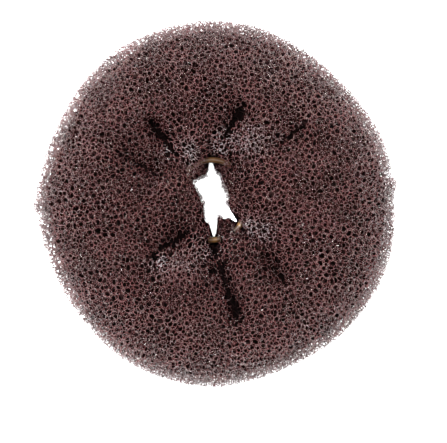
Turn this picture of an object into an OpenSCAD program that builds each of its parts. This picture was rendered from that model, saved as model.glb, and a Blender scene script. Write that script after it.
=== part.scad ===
// Hair donut: a ring of open-cell foam mesh, gathered round its hole by an elastic band.
// The sleeve is one hollow ring. Its surface is a section that is worked out for each angle
// round the hole, pressed in along the folds, the two seams and the gathers at the hole.
// Millimetres. The ring lies flat with Z up, and angles run anticlockwise from +X round the hole.

/* [Ring] */

// Height of the ring as it rests
ring_height = 34; // [24:0.5:44]
// Height of the middle of the ring's section
section_middle = 16.5; // [10:0.1:22]
// How far the soft underside is pressed flat where it rests
rest_press = 0.7; // [0:0.1:3]
// Roundness of the section's outer half, where 2 is an ellipse and more is squarer
rim_roundness = 2.1; // [1.6:0.05:4]
// Roundness of the section's half that faces the hole
throat_roundness = 1.95; // [1.6:0.05:4]
// Place of the hole's middle along X, measured from the middle of the whole ring
hole_offset_x = -0.55; // [-5:0.05:5]
// Place of the hole's middle along Y, measured from the middle of the whole ring
hole_offset_y = 1.95; // [-5:0.05:5]

/* [Sleeve] */

// Thickness of the foam mesh
foam_thickness = 9; // [3:0.1:12]
// Share of a fold's depth that the inside of the sleeve follows
fold_share_inside = 0.6; // [0:0.05:0.8]
// Length over which a fold fades in and out at its two ends
fold_fade = 4.5; // [1:0.5:12]
// How much wider than its own line a fold draws in the foam beside it
fold_draw_width = 2.8; // [1.5:0.1:5]
// Share of a fold's depth that lies in the drawn-in foam beside its line
fold_draw_share = 0.4; // [0:0.05:1]
// Radius at which a fold has made all of its swing on its way to the hole
swing_end_radius = 9; // [5:0.5:15]
// Half width of a seam's line
seam_half_width = 1.1; // [0.5:0.1:3]
// Depth of a seam's line
seam_depth = 0.9; // [0:0.1:3]
// Height of the hem that stands out beside a seam at the rim
seam_hem = 0.9; // [0:0.1:3]
// Distance from a seam's line to the middle of its hem
seam_hem_offset = 2.2; // [0.5:0.1:6]

/* [Elastic] */

// Thickness of the round elastic band
elastic_thickness = 1.5; // [0.8:0.1:3]
// Radius of the band's two rounded ends, to the middle of the band
elastic_end_radius = 8.8; // [5:0.1:14]
// Length of the band's two straight sides
elastic_side_length = 3.4; // [0.5:0.1:12]
// Height of the band above the surface the ring rests on
elastic_height = 20.5; // [12:0.1:30]
// Place of the band's middle along X
elastic_offset_x = -0.8; // [-5:0.1:5]
// Place of the band's middle along Y
elastic_offset_y = 0.9; // [-5:0.1:5]
// Gap between the band and the foam that holds it
elastic_gap = 0.3; // [0.1:0.05:1]

/* [Detail] */

// Largest turn from one station of the sleeve to the next, in degrees
station_turn = 4.1; // [2:0.1:10]
// How much closer the stations stand beside a fold
station_crowding = 1.1; // [0:0.1:3]
// Number of points round a section of the sleeve
section_points = 36; // [16:2:60]
// How much closer the points of a section stand on its upper and inner side
section_crowding = 0.35; // [0:0.05:0.8]
// Number of stations round the hollow inside of the sleeve
hollow_stations = 40; // [16:2:80]
// Number of points round a section of the hollow
hollow_points = 18; // [8:2:40]
// Number of facets round the elastic band in previews
band_facets = 48; // [16:4:96]

/* [Hidden] */

// Outline of the ring from above, one row every 15 degrees, the first at angle 0.
// Columns: radius of the rim, radius of the hole, degrees by which folds swing from rim to hole
outline = [
    [47.6, 2.6, 0],
    [47.3, 2.4, 3],
    [46.0, 3.1, 6],
    [45.2, 3.4, 12],
    [45.5, 4.3, 21],
    [46.0, 5.6, 25],
    [46.2, 6.0, 21],
    [46.0, 5.3, 14],
    [46.0, 5.3, 9],
    [45.6, 5.4, 7],
    [45.0, 4.6, 4],
    [45.2, 3.3, 1],
    [46.4, 1.7, 0],
    [46.3, 1.8, 3],
    [46.5, 2.0, 11],
    [47.4, 2.5, 18],
    [48.8, 4.0, 14],
    [49.6, 6.2, 4],
    [50.1, 6.1, -7],
    [49.4, 4.9, -11],
    [49.2, 6.0, 2],
    [49.7, 5.4, 9],
    [49.6, 3.9, 7],
    [48.9, 3.2, 2]
];

// Gathers that notch the edge of the hole.
// Columns: angle, depth of the notch, half width in degrees
gathers = [
    [94, 2.6, 5.5],
    [145, 0.7, 6],
    [272, 3.9, 6],
    [313, 2.8, 4.5]
];

// Folds on the upper side, each a straight line as seen from above, from the hole outwards.
// Columns: X and Y where it starts, X and Y where it ends, depth,
// half width on its clockwise side, half width on its anticlockwise side
upper_folds = [
    [16.6, 15.6, 22.9, 20.1, 6.5, 2.4, 2.2],
    [2.6, 8.6, 5.2, 11.4, 2.2, 1.2, 1.2],
    [-1.3, 8.6, -0.6, 12.6, 7.0, 1.8, 1.8],
    [-0.6, 12.6, 7.4, 25.6, 8.5, 1.6, 2.7],
    [-8.0, 9.4, -17.2, 22.0, 8.0, 1.9, 1.9],
    [-15.0, 7.4, -25.0, 13.3, 4.8, 2.2, 2.2],
    [-6.0, -9.0, -15.3, -15.4, 7.0, 4.2, 1.4],
    [0.1, -8.2, 0.6, -12.8, 7.0, 1.6, 1.6],
    [0.0, -12.2, 6.3, -32.0, 7.2, 2.2, 1.2],
    [9.2, -7.8, 17.9, -20.6, 5.8, 3.2, 1.4],
    [4.0, -4.1, 7.4, -7.5, 4.6, 1.7, 1.7]
];

// Folds on the underside, which run straight out from the hole.
// Columns: angle, radius where it starts, radius where it ends, depth,
// half width on its clockwise side, half width on its anticlockwise side
under_fold_rows = [
    [20, 8, 27, 5.0, 2.2, 2.2],
    [64, 8, 30, 5.6, 2.6, 1.6],
    [112, 8, 26, 4.8, 1.8, 2.4],
    [150, 8, 29, 5.4, 2.4, 1.8],
    [204, 8, 27, 4.6, 2.0, 2.6],
    [246, 8, 30, 5.6, 2.6, 1.8],
    [290, 9, 27, 5.0, 2.2, 2.2],
    [330, 8, 29, 4.8, 1.8, 2.6]
];

// Angles of the two seams that join the sleeve's halves
seams = [6.9, 186.5];

// Half heights of the section above and below its middle
upper_half = ring_height - section_middle;
under_half = section_middle + rest_press;

full_turn = 360;
row_turn = full_turn / len(outline);

// Middle radius and half width of the plain oval section that the folds' swing is worked out on
plain_middle = 26;
plain_half_width = 21;

// Section angle about which points crowd, and how near a station counts as beside a line
crowding_middle = 120;
fold_nearness = 9;
seam_nearness = 6;

least_height = 0.01;
clearance_cut = 200;

// An angle brought between -180 and 180
function around_zero(a) = a - full_turn * floor((a + 180) / full_turn);

// A value that rises smoothly from 0 to 1 while t goes from 0 to 1
function rise(t) =
    let (c = min(max(t, 0), 1))
    c * c * (3 - 2 * c);

// A bell of height 1 and half width 1
function bell(d) = exp(-d * d);

// A bell with its own half width on each side
function uneven_bell(d, before, after) = bell(d / (d < 0 ? before : after));

function row_value(i, column) = outline[(i + 2 * len(outline)) % len(outline)][column];

// One column of the outline at any angle, as a smooth curve through its rows
function outline_at(a, column) =
    let (
        u = a / row_turn,
        i = floor(u),
        f = u - i,
        p0 = row_value(i - 1, column),
        p1 = row_value(i, column),
        p2 = row_value(i + 1, column),
        p3 = row_value(i + 2, column)
    )
    p1 + f * (p2 - p0 + f * (2 * p0 - 5 * p1 + 4 * p2 - p3 + f * (3 * p1 - p0 - 3 * p2 + p3))) / 2;

function total(values) = len(values) == 0 ? 0 : values * [for (v = values) 1];

function gather_depth(a) = total([for (g = gathers) g[1] * bell(around_zero(a - g[0]) / g[2])]);

function rim_radius(a) = outline_at(a, 0);

function hole_radius(a) = outline_at(a, 1) + gather_depth(a);

// Radius of a point in the direction phi on a plain oval section
function plain_radius(phi) =
    plain_middle
    + cos(phi) / sqrt(pow(cos(phi) / plain_half_width, 2) + pow(sin(phi) / upper_half, 2));

// Share of its swing that a line has made by the direction phi, from 0 over the rim to 1
function swing_share(phi) =
    let (r = min(max(plain_radius(phi), swing_end_radius), plain_middle))
    (1 / r - 1 / plain_middle) / (1 / swing_end_radius - 1 / plain_middle);

// The angle round the hole of a point on the line that leaves the rim at angle a
function swung_angle(a, phi) = a + outline_at(a, 2) * swing_share(phi);

// Middle radius, half width and half height of the section at angle a
function section_centre(a) = (rim_radius(a) + hole_radius(a)) / 2;

function section_half_width(a) = (rim_radius(a) - hole_radius(a)) / 2;

function section_half_height(phi) = sin(phi) > 0 ? upper_half : under_half;

// Distance from the middle of the section to its smooth, unfolded surface
function smooth_reach(a, phi) =
    let (
        n = cos(phi) > 0 ? rim_roundness : throat_roundness,
        across = abs(cos(phi)) / section_half_width(a),
        up = abs(sin(phi)) / section_half_height(phi)
    )
    pow(pow(across, n) + pow(up, n), -1 / n);

hole_middle = [hole_offset_x, hole_offset_y];

// A point from above at radius r and angle a round the hole
function plan_point(r, a) = hole_middle + r * [cos(a), sin(a)];

under_folds = [
    for (f = under_fold_rows)
    concat(plan_point(f[1], f[0]), plan_point(f[2], f[0]), [f[3], f[4], f[5]])
];

// Share of a fold's depth at distance s along its length, fading at both of its ends
function fold_run(s, length) =
    rise(s / fold_fade + 0.5) * rise((length - s) / fold_fade + 0.5);

// Share of a fold's depth at distance d beside it, with the foam that it draws in
function fold_side(d, clockwise, anticlockwise) =
    (1 - fold_draw_share) * uneven_bell(d, clockwise, anticlockwise)
    + fold_draw_share * uneven_bell(d / fold_draw_width, clockwise, anticlockwise);

// Depth of one fold at a point from above
function one_fold(f, at) =
    let (
        start = [f[0], f[1]],
        line = [f[2], f[3]] - start,
        length = norm(line),
        along = line / length,
        from_start = at - start,
        s = along * from_start,
        d = along[0] * from_start[1] - along[1] * from_start[0]
    )
    f[4] * fold_run(s, length) * fold_side(d, f[5], f[6]);

// Depth of all the folds in a table at a point from above
function fold_depth(folds, at) = total([for (f = folds) one_fold(f, at)]);

// Height above the middle that is left of height h when a fold of this depth presses on it
function pressed(h, depth) = h < least_height ? h : h * exp(-depth / h);

// Height from the section's middle of a point that was at height h before it was folded
function folded(h, at, share) =
    h > 0
    ? pressed(h, share * fold_depth(upper_folds, at))
    : -pressed(-h, share * fold_depth(under_folds, at));

// Depth of the seams' lines, less the hems that stand out beside them at the rim
function seam_press(a, phi, r) =
    total([
        for (s = seams)
        let (d = around_zero(a - s) * PI / 180 * r)
        seam_depth * bell(d / seam_half_width)
        - seam_hem * rise(cos(phi)) * bell((d + seam_hem_offset) / seam_hem_offset)
    ]);

// A point of the sleeve's outer face, on the line that leaves the rim at angle a
function outer_point(a, phi) =
    let (
        s = swung_angle(a, phi),
        smooth = smooth_reach(s, phi),
        reach = smooth - seam_press(s, phi, section_centre(s) + smooth * cos(phi)),
        at = plan_point(section_centre(s) + reach * cos(phi), s)
    )
    [at[0], at[1], section_middle + folded(reach * sin(phi), at, 1)];

// A point of the sleeve's inner face at angle a round the hole
function hollow_point(a, phi) =
    let (
        reach = smooth_reach(a, phi) - foam_thickness,
        at = plan_point(section_centre(a) + reach * cos(phi), a)
    )
    [at[0], at[1], section_middle + folded(reach * sin(phi), at, fold_share_inside)];

// Angle round the hole of the outer end of a fold
function fold_angle(f) = atan2(f[3] - hole_offset_y, f[2] - hole_offset_x);

// Turn to the next station, smaller beside a fold or a seam
function next_turn(a) =
    let (
        near_fold = [for (f = upper_folds) bell(around_zero(a - fold_angle(f)) / fold_nearness)],
        near_seam = [for (s = seams) bell(around_zero(a - s) / seam_nearness)]
    )
    station_turn / (1 + station_crowding * max(concat(near_fold, near_seam)));

function march(a) = a >= full_turn ? [a] : concat([a], march(a + next_turn(a)));

marched = march(0);
station_count = len(marched) - 1;
stations = [for (i = [0 : station_count - 1]) marched[i] * full_turn / marched[station_count]];

// Section angles, closer together on the upper and inner side
section_angles = [
    for (j = [0 : section_points - 1])
    let (u = j * full_turn / section_points)
    u - section_crowding * sin(u - crowding_middle) * 180 / PI
];

hollow_angles = [for (j = [0 : hollow_points - 1]) j * full_turn / hollow_points];
hollow_turns = [for (i = [0 : hollow_stations - 1]) i * full_turn / hollow_stations];

// Triangles of a closed grid of points with rows that run round the section
function ring_faces(rows, columns) = [
    for (i = [0 : rows - 1], j = [0 : columns - 1], half = [0, 1])
    let (
        i2 = (i + 1) % rows,
        j2 = (j + 1) % columns,
        p = i * columns + j,
        q = i2 * columns + j,
        p_up = i * columns + j2,
        q_up = i2 * columns + j2
    )
    half == 0 ? [p, p_up, q_up] : [p, q_up, q]
];

// The whole ring without its hollow
module ring_body() {
    polyhedron(
        points = [for (a = stations, phi = section_angles) outer_point(a, phi)],
        faces = ring_faces(station_count, section_points)
    );
}

// The hollow inside the sleeve
module ring_hollow() {
    polyhedron(
        points = [for (a = hollow_turns, phi = hollow_angles) hollow_point(a, phi)],
        faces = ring_faces(hollow_stations, hollow_points)
    );
}

// One rounded end of a band, from +X round to -X
module band_end(thickness) {
    rotate_extrude(angle = 180, $fn = band_facets)
        translate([elastic_end_radius, 0])
            circle(d = thickness, $fn = band_facets);
}

// One straight side of a band
module band_side(thickness) {
    translate([elastic_end_radius, elastic_side_length / 2, 0])
        rotate([90, 0, 0])
            cylinder(d = thickness, h = elastic_side_length, $fn = band_facets);
}

// A band of round section with two straight sides and two rounded ends
module band(thickness) {
    translate([elastic_offset_x, elastic_offset_y, elastic_height]) {
        translate([0, elastic_side_length / 2, 0])
            band_end(thickness);
        translate([0, -elastic_side_length / 2, 0])
            rotate([0, 0, 180])
                band_end(thickness);
        band_side(thickness);
        rotate([0, 0, 180])
            band_side(thickness);
    }
}

// The foam sleeve, hollow inside, with the channel that the elastic lies in
module foam_sleeve() {
    color([0.28, 0.13, 0.13])
        difference() {
            ring_body();
            ring_hollow();
            band(elastic_thickness + 2 * elastic_gap);
            translate([-clearance_cut / 2, -clearance_cut / 2, -clearance_cut])
                cube(clearance_cut);
        }
}

// The elastic band that gathers the foam round the hole
module elastic_band() {
    color([0.72, 0.5, 0.2])
        band(elastic_thickness);
}

foam_sleeve();
elastic_band();
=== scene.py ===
"""Looks of a hair donut: a soft ring of open-cell foam mesh gathered round its hole by an elastic.

The foam is built as a real network of struts. A block of foam that repeats in all directions is
worked out from packed cells, laid through the wall of the ring, and cut where the wall ends, so
that the cut struts stand out of its faces. The elastic band is a carried round profile.
"""

from __future__ import annotations

import logging
import math
from dataclasses import dataclass, field
from enum import Enum

import bpy
import numpy as np
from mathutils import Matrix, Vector


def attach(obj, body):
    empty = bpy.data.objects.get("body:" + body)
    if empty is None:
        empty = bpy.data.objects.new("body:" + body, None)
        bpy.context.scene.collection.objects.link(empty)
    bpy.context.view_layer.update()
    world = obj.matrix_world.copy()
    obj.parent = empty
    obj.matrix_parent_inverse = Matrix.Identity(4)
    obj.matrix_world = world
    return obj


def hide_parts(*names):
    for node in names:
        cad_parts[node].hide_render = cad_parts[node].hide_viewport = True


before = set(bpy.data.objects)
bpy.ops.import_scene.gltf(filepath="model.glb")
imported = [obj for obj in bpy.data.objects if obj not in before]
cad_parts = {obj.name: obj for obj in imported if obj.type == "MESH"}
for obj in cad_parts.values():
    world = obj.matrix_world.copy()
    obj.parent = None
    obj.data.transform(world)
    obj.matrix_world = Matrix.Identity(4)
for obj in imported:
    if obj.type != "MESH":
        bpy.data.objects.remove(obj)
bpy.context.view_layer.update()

Array = np.ndarray
MM = 0.001
# distance in mm that stands for no slit nearby, and the least height of a mesh over the floor
FAR_OFF = 9.0
LEAST_HEIGHT = 0.01
# values between which a noise mostly lies, and those between which its grain shows as specks
NOISE_RANGE = (0.3, 0.7)
SPECK_RANGE = (0.48, 0.6)
# rate, sign of Y and start of each sine by which a slit's width wavers
WAVES = ((2.3, 1.0, 0.0), (5.1, -1.0, 1.0))

logging.basicConfig(level=logging.INFO, format="%(message)s")
log = logging.getLogger("hair_donut")


class Face(Enum):
    """The two faces of the foam's core."""

    OUTER = 1
    HOLLOW = -1


def rise(t: Array) -> Array:
    """A value that rises smoothly from 0 to 1 while t goes from 0 to 1: t squared times (3 - 2t).

    Args:
        t: Where along the rise.

    Returns:
        The risen value, from 0 to 1.
    """
    c = np.clip(t, 0.0, 1.0)
    return c * c * (3.0 - 2.0 * c)


def bell(d: Array) -> Array:
    """A bell of height 1 and half width 1, the exponential of minus d squared."""
    return np.exp(-d * d)


def around_zero(degrees: Array) -> Array:
    """Angles brought between -180 and 180 degrees."""
    return degrees - 360.0 * np.floor((degrees + 180.0) / 360.0)


@dataclass(frozen=True)
class Crease:
    """The bottom of a fold, where the foam is parted by its slit and its colour carries a painted
    shadow.
    """

    shadow: float
    slit: float
    begins: float = 0.0
    ends: float = 1.0
    shift: float = 0.0
    width: float = 1.6
    fade: float = 5.0
    spread: float = 2.4
    slope: float = 0.35
    waver: float = 0.3


@dataclass(frozen=True)
class Fold:
    """A fold that presses the ring in along a straight line as seen from above, in millimetres."""

    start: tuple[float, float]
    end: tuple[float, float]
    depth: float
    clockwise: float
    anticlockwise: float
    crease: Crease | None = None
    fade: float = 4.5
    draw_width: float = 2.8
    draw_share: float = 0.4

    def run_and_beside(self, x: Array, y: Array) -> tuple[Array, Array, float]:
        """Where points are along the fold's line and beside it.

        Args:
            x: Places along X, mm.
            y: Places along Y, mm.

        Returns:
            The run along the line, the distance beside it, negative on the clockwise side, and the
            line's length, mm.
        """
        line = np.subtract(self.end, self.start)
        length = float(np.hypot(*line))
        along = line / length
        dx, dy = x - self.start[0], y - self.start[1]
        return along[0] * dx + along[1] * dy, along[0] * dy - along[1] * dx, length

    def crease_at(self, x: Array, y: Array, crease: Crease) -> tuple[Array, Array]:
        """Share of the crease that is left near its ends, and distance beside its line.

        Args:
            x: Places along X, mm.
            y: Places along Y, mm.
            crease: The fold's crease.

        Returns:
            The share, from 0 to 1, and the distance, mm.
        """
        run, beside, length = self.run_and_beside(x, y)
        near = rise((run - crease.begins * length) / crease.fade + 0.5)
        far = rise((crease.ends * length - run) / crease.fade + 0.5)
        return near * far, beside - crease.shift

    def beside_slit(self, x: Array, y: Array) -> Array:
        """Distance of points from the open slit in the crease, negative inside it, mm.

        The slit's width wavers along the line by two sines.
        """
        if self.crease is None:
            return np.full(np.shape(x), FAR_OFF)
        share, beside = self.crease_at(x, y, self.crease)
        sines = (np.sin(rate * (x + sign * y) + start) for rate, sign, start in WAVES)
        waver = sum((self.crease.waver * sine for sine in sines), 1.0)
        return np.abs(beside) - self.crease.slit * share * waver + FAR_OFF * (share < 0.2)

    def shadow_at(self, x: Array, y: Array) -> Array:
        """Painted shadow of the crease on the foam's colour, from 0 to 1, as two bells beside its line.

        The narrow bell is the bottom of the crease, and the wide one the foam that slopes to it.
        """
        if self.crease is None:
            return np.zeros(np.shape(x))
        share, beside = self.crease_at(x, y, self.crease)
        narrow = bell(beside / self.crease.width)
        wide = bell(beside / self.crease.width / self.crease.spread)
        slope = self.crease.slope
        return self.crease.shadow * share * ((1 - slope) * narrow + slope * wide)

    def depth_at(self, x: Array, y: Array) -> Array:
        """Depth of the fold at points from above.

        The depth fades smoothly at both ends of the line. Across the line it is a narrow bell with
        a half width of its own on each side, and a wider bell for the foam that is drawn in.

        Args:
            x: Places along X, mm.
            y: Places along Y, mm.

        Returns:
            The depth at each point, mm.
        """
        run, beside, length = self.run_and_beside(x, y)
        ends = rise(run / self.fade + 0.5) * rise((length - run) / self.fade + 0.5)
        half = np.where(beside < 0, self.clockwise, self.anticlockwise)
        narrow = bell(beside / half)
        wide = bell(beside / half / self.draw_width)
        return self.depth * ends * ((1 - self.draw_share) * narrow + self.draw_share * wide)


@dataclass(frozen=True)
class RingShape:
    """Faces of the ring, in millimetres: the outer one, the hollow inside and the folds."""

    middle: float = 16.5
    upper_half: float = 17.5
    under_half: float = 17.2
    rim_roundness: float = 2.1
    throat_roundness: float = 1.95
    hole_x: float = -0.55
    hole_y: float = 1.95
    foam_thickness: float = 9.0
    fold_share_inside: float = 0.6
    seam_half_width: float = 1.1
    seam_depth: float = 0.9
    seam_hem: float = 0.9
    seam_hem_offset: float = 2.2
    seams: tuple[float, float] = (6.9, 186.5)
    rim_radii: tuple[float, ...] = (
        47.6, 47.3, 46.0, 45.2, 45.5, 46.0, 46.2, 46.0, 46.0, 45.6, 45.0, 45.2,
        46.4, 46.3, 46.5, 47.4, 48.8, 49.6, 50.1, 49.4, 49.2, 49.7, 49.6, 48.9,
    )
    hole_radii: tuple[float, ...] = (
        2.6, 2.4, 3.1, 3.4, 4.3, 5.6, 6.0, 5.3, 5.3, 5.4, 4.6, 3.3,
        1.7, 1.8, 2.0, 2.5, 4.0, 6.2, 6.1, 4.9, 6.0, 5.4, 3.9, 3.2,
    )
    # angle, depth and half width in degrees of each gather at the hole
    gathers: tuple[tuple[float, float, float], ...] = (
        (94, 2.6, 5.5), (145, 0.7, 6), (272, 3.9, 6), (313, 2.8, 4.5),
    )
    upper_folds: tuple[Fold, ...] = (
        Fold((16.6, 15.6), (22.9, 20.1), 6.5, 2.4, 2.2, Crease(0.9, 0.3, width=1.4)),
        Fold((2.6, 8.6), (5.2, 11.4), 2.2, 1.2, 1.2, Crease(0.5, 0.0)),
        Fold((-1.3, 8.6), (-0.6, 12.6), 7.0, 1.8, 1.8, Crease(0.9, 0.3)),
        Fold((-0.6, 12.6), (7.4, 25.6), 8.5, 1.6, 2.7, Crease(1.0, 0.6, begins=0.4, width=2.5)),
        Fold((-8.0, 9.4), (-17.2, 22.0), 8.0, 1.9, 1.9, Crease(1.0, 0.5, begins=0.25, width=2.0)),
        Fold((-15.0, 7.4), (-25.0, 13.3), 4.8, 2.2, 2.2, Crease(0.8, 0.2, width=2.0)),
        Fold((-6.0, -9.0), (-15.3, -15.4), 7.0, 4.2, 1.4, Crease(0.97, 0.4, shift=-2.1, width=2.7)),
        Fold((0.1, -8.2), (0.6, -12.8), 7.0, 1.6, 1.6, Crease(0.6, 0.0)),
        Fold((0.0, -12.2), (6.3, -32.0), 7.2, 2.2, 1.2,
             Crease(1.0, 0.4, begins=0.12, ends=0.9, width=1.7)),
        Fold((9.2, -7.8), (17.9, -20.6), 5.8, 3.2, 1.4, Crease(0.85, 0.2, begins=0.3, width=2.0)),
        Fold((4.0, -4.1), (7.4, -7.5), 4.6, 1.7, 1.7, Crease(0.4, 0.3)),
    )
    # X, Y, reach and strength of each painted gleam, pale specks painted beside the folds as a
    # highlight
    gleams: tuple[tuple[float, ...], ...] = (
        (-12.0, 14.2, 2.4, 0.9), (-6.6, 13.0, 2.6, 0.7), (-7.4, 16.5, 4.0, 0.3),
        (2.9, 18.6, 2.6, 1.0), (1.1, 14.4, 2.4, 0.9), (9.0, 17.0, 5.5, 0.5),
        (17.4, 17.4, 2.4, 0.6), (8.7, -5.9, 2.4, 0.7), (13.0, -8.2, 3.2, 0.6),
        (-14.2, -15.2, 2.8, 0.9), (-4.9, -12.4, 4.6, 0.4), (0.3, -12.4, 1.8, 0.9),
        (-9.2, -16.2, 4.5, 0.3),
    )
    # angle, radius at the start and the end, depth and both half widths of the folds underneath
    under_rows: tuple[tuple[float, ...], ...] = (
        (20, 8, 27, 5.0, 2.2, 2.2),
        (64, 8, 30, 5.6, 2.6, 1.6),
        (112, 8, 26, 4.8, 1.8, 2.4),
        (150, 8, 29, 5.4, 2.4, 1.8),
        (204, 8, 27, 4.6, 2.0, 2.6),
        (246, 8, 30, 5.6, 2.6, 1.8),
        (290, 9, 27, 5.0, 2.2, 2.2),
        (330, 8, 29, 4.8, 1.8, 2.6),
    )

    def under_folds(self) -> tuple[Fold, ...]:
        """The folds underneath, which run straight out from the hole."""
        folds = []
        for angle, start, end, depth, clockwise, anticlockwise in self.under_rows:
            a = math.radians(angle)
            ends = [
                (self.hole_x + r * math.cos(a), self.hole_y + r * math.sin(a)) for r in (start, end)
            ]
            folds.append(Fold(ends[0], ends[1], depth, clockwise, anticlockwise))
        return tuple(folds)

    @staticmethod
    def around(radii: tuple[float, ...], angle: Array) -> Array:
        """A radius at any angle, as a smooth curve through evenly turned rows.

        Each stretch between two rows is the cubic whose slope at a row is half of the step between
        the rows beside it.

        Args:
            radii: The radius at each row, the first at angle 0.
            angle: Angles in degrees.

        Returns:
            The radius at each angle, mm.
        """
        rows = np.asarray(radii)
        u = np.mod(angle, 360.0) / (360.0 / len(rows))
        i = np.floor(u).astype(int)
        f = u - i
        p0, p1, p2, p3 = (rows[(i + step) % len(rows)] for step in (-1, 0, 1, 2))
        cubic = 2 * p0 - 5 * p1 + 4 * p2 - p3 + f * (3 * p1 - p0 - 3 * p2 + p3)
        return p1 + f * (p2 - p0 + f * cubic) / 2

    def section(self, angle: Array) -> tuple[Array, Array]:
        """Middle radius and half width of the ring's section at angles round the hole.

        Args:
            angle: Angles in degrees.

        Returns:
            The middle radius and the half width, mm.
        """
        rim = self.around(self.rim_radii, angle)
        hole = self.around(self.hole_radii, angle)
        for at, depth, half in self.gathers:
            hole = hole + depth * bell(around_zero(angle - at) / half)
        return (rim + hole) / 2, (rim - hole) / 2

    @staticmethod
    def unpressed(height: Array, depth: Array) -> Array:
        """Height that a point had before a fold pressed on it.

        A fold of depth D leaves h exp(-D / h) of a height h. This finds h by Newton's steps from
        above, starting at the pressed height plus D.

        Args:
            height: Heights from the section's middle after pressing, mm.
            depth: The fold's depth at each point, mm.

        Returns:
            Heights before pressing, mm.
        """
        pressed = np.maximum(height, 0.01)
        h = pressed + depth
        for _ in range(7):
            share = np.exp(-depth / h)
            h = h - (h * share - pressed) / (share * (1 + depth / h))
            h = np.maximum(h, 0.01)
        return h

    def fold_depth(self, x: Array, y: Array, raised: Array) -> Array:
        """Depth of the folds over or under points from above.

        Args:
            x: Places along X, mm.
            y: Places along Y, mm.
            raised: Heights from the section's middle, whose sign picks the side.

        Returns:
            The depth at each point, mm.
        """
        upper = sum(fold.depth_at(x, y) for fold in self.upper_folds)
        under = sum(fold.depth_at(x, y) for fold in self.under_folds())
        return np.where(raised > 0, upper, under)

    def shadows(self, points: Array) -> Array:
        """Painted shadow of the upper folds' creases at each point, from 0 to 1."""
        x, y = points[:, 0], points[:, 1]
        lit = np.ones(len(points))
        for fold in self.upper_folds:
            lit = lit * (1 - fold.shadow_at(x, y))
        return np.where(points[:, 2] > self.middle, 1 - lit, 0.0)

    def gleam(self, points: Array) -> Array:
        """Painted gleam beside the folds at each point, from 0 to 1: a highlight painted into the
        colour.
        """
        plain = np.ones(len(points))
        for x, y, reach, strength in self.gleams:
            plain = plain * (1 - strength * bell(np.hypot(points[:, 0] - x, points[:, 1] - y) / reach))
        return np.where(points[:, 2] > self.middle, 1 - plain, 0.0)

    def seam_press(self, angle: Array, radius: Array, cos: Array) -> Array:
        """Depth of the seams' lines, less the hems that stand out beside them at the rim.

        Args:
            angle: Angles round the hole, degrees.
            radius: Distances from the hole's middle, mm.
            cos: Cosine of the angle round the section.

        Returns:
            The depth at each point, mm.
        """
        press = np.zeros_like(radius)
        for seam in self.seams:
            d = np.radians(around_zero(angle - seam)) * radius
            hem = rise(cos) * bell((d + self.seam_hem_offset) / self.seam_hem_offset)
            press += self.seam_depth * bell(d / self.seam_half_width) - self.seam_hem * hem
        return press

    def smooth_reach(self, half_width: Array, cos: Array, sin: Array) -> Array:
        """Distance from the section's middle to its smooth face.

        The face is where the powers of the two half widths' shares add up to 1.

        Args:
            half_width: Half widths of the sections, mm.
            cos: Cosine of the angle round the section.
            sin: Sine of that angle.

        Returns:
            The distances, mm.
        """
        half_height = np.where(sin > 0, self.upper_half, self.under_half)
        power = np.where(cos > 0, self.rim_roundness, self.throat_roundness)
        powers = np.abs(cos / half_width) ** power + np.abs(sin / half_height) ** power
        return powers ** (-1 / power)

    def place(self, angle: Array, turn: Array, depth: Array) -> Array:
        """Places at given depths below the outer face.

        Args:
            angle: Angles round the hole, degrees.
            turn: Angles round the section from the rim upwards, degrees.
            depth: Depths below the outer face, mm.

        Returns:
            (n, 3) places, mm.
        """
        centre, half_width = self.section(angle)
        cos, sin = np.cos(np.radians(turn)), np.sin(np.radians(turn))
        smooth = self.smooth_reach(half_width, cos, sin)
        reach = smooth - self.seam_press(angle, centre + smooth * cos, cos) - depth
        radius = centre + reach * cos
        x = self.hole_x + radius * np.cos(np.radians(angle))
        y = self.hole_y + radius * np.sin(np.radians(angle))
        raised = reach * sin
        height = np.maximum(np.abs(raised), 0.01)
        left = height * np.exp(-self.fold_depth(x, y, raised) / height)
        return np.stack([x, y, self.middle + np.sign(raised) * left], -1)

    def beside_slits(self, points: Array) -> Array:
        """Distance of points from the nearest open slit of the upper folds, mm."""
        x, y = points[:, 0], points[:, 1]
        slits = [fold.beside_slit(x, y) for fold in self.upper_folds]
        return np.where(points[:, 2] > self.middle, np.minimum.reduce(slits), FAR_OFF)

    def depths(self, points: Array) -> dict[str, Array]:
        """How deep each point lies below the outer face and how far outside the hollow.

        In the plane of a section, a point is u outwards and v up from the section's middle, with v
        taken before the folds press it. The smooth face in its direction is at the distance where
        the powers of u and v over their half widths add up to 1, less the lines of the seams.

        Args:
            points: (n, 3) places in the ring's frame, mm.

        Returns:
            Arrays named face, hollow, angle and turn: the depth below the outer face, the distance
            outside the hollow, the angle round the hole and the angle round the section, in mm
            and degrees.
        """
        dx, dy = points[:, 0] - self.hole_x, points[:, 1] - self.hole_y
        angle = np.degrees(np.arctan2(dy, dx))
        centre, half_width = self.section(angle)
        u = np.hypot(dx, dy) - centre
        raised = points[:, 2] - self.middle
        fold = self.fold_depth(points[:, 0], points[:, 1], raised)

        def polar(share: float) -> tuple[Array, Array, Array]:
            v = np.sign(raised) * self.unpressed(np.abs(raised), share * fold)
            distance = np.maximum(np.hypot(u, v), 1e-6)
            return distance, u / distance, v / distance

        distance, cos, sin = polar(1.0)
        smooth = self.smooth_reach(half_width, cos, sin)
        press = self.seam_press(angle, centre + smooth * cos, cos)
        inner_distance, inner_cos, inner_sin = polar(self.fold_share_inside)
        inner = self.smooth_reach(half_width, inner_cos, inner_sin)
        return {
            "face": smooth - press - distance,
            "hollow": inner_distance - (inner - self.foam_thickness),
            "angle": angle,
            "turn": np.degrees(np.arctan2(sin, cos)),
        }


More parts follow.
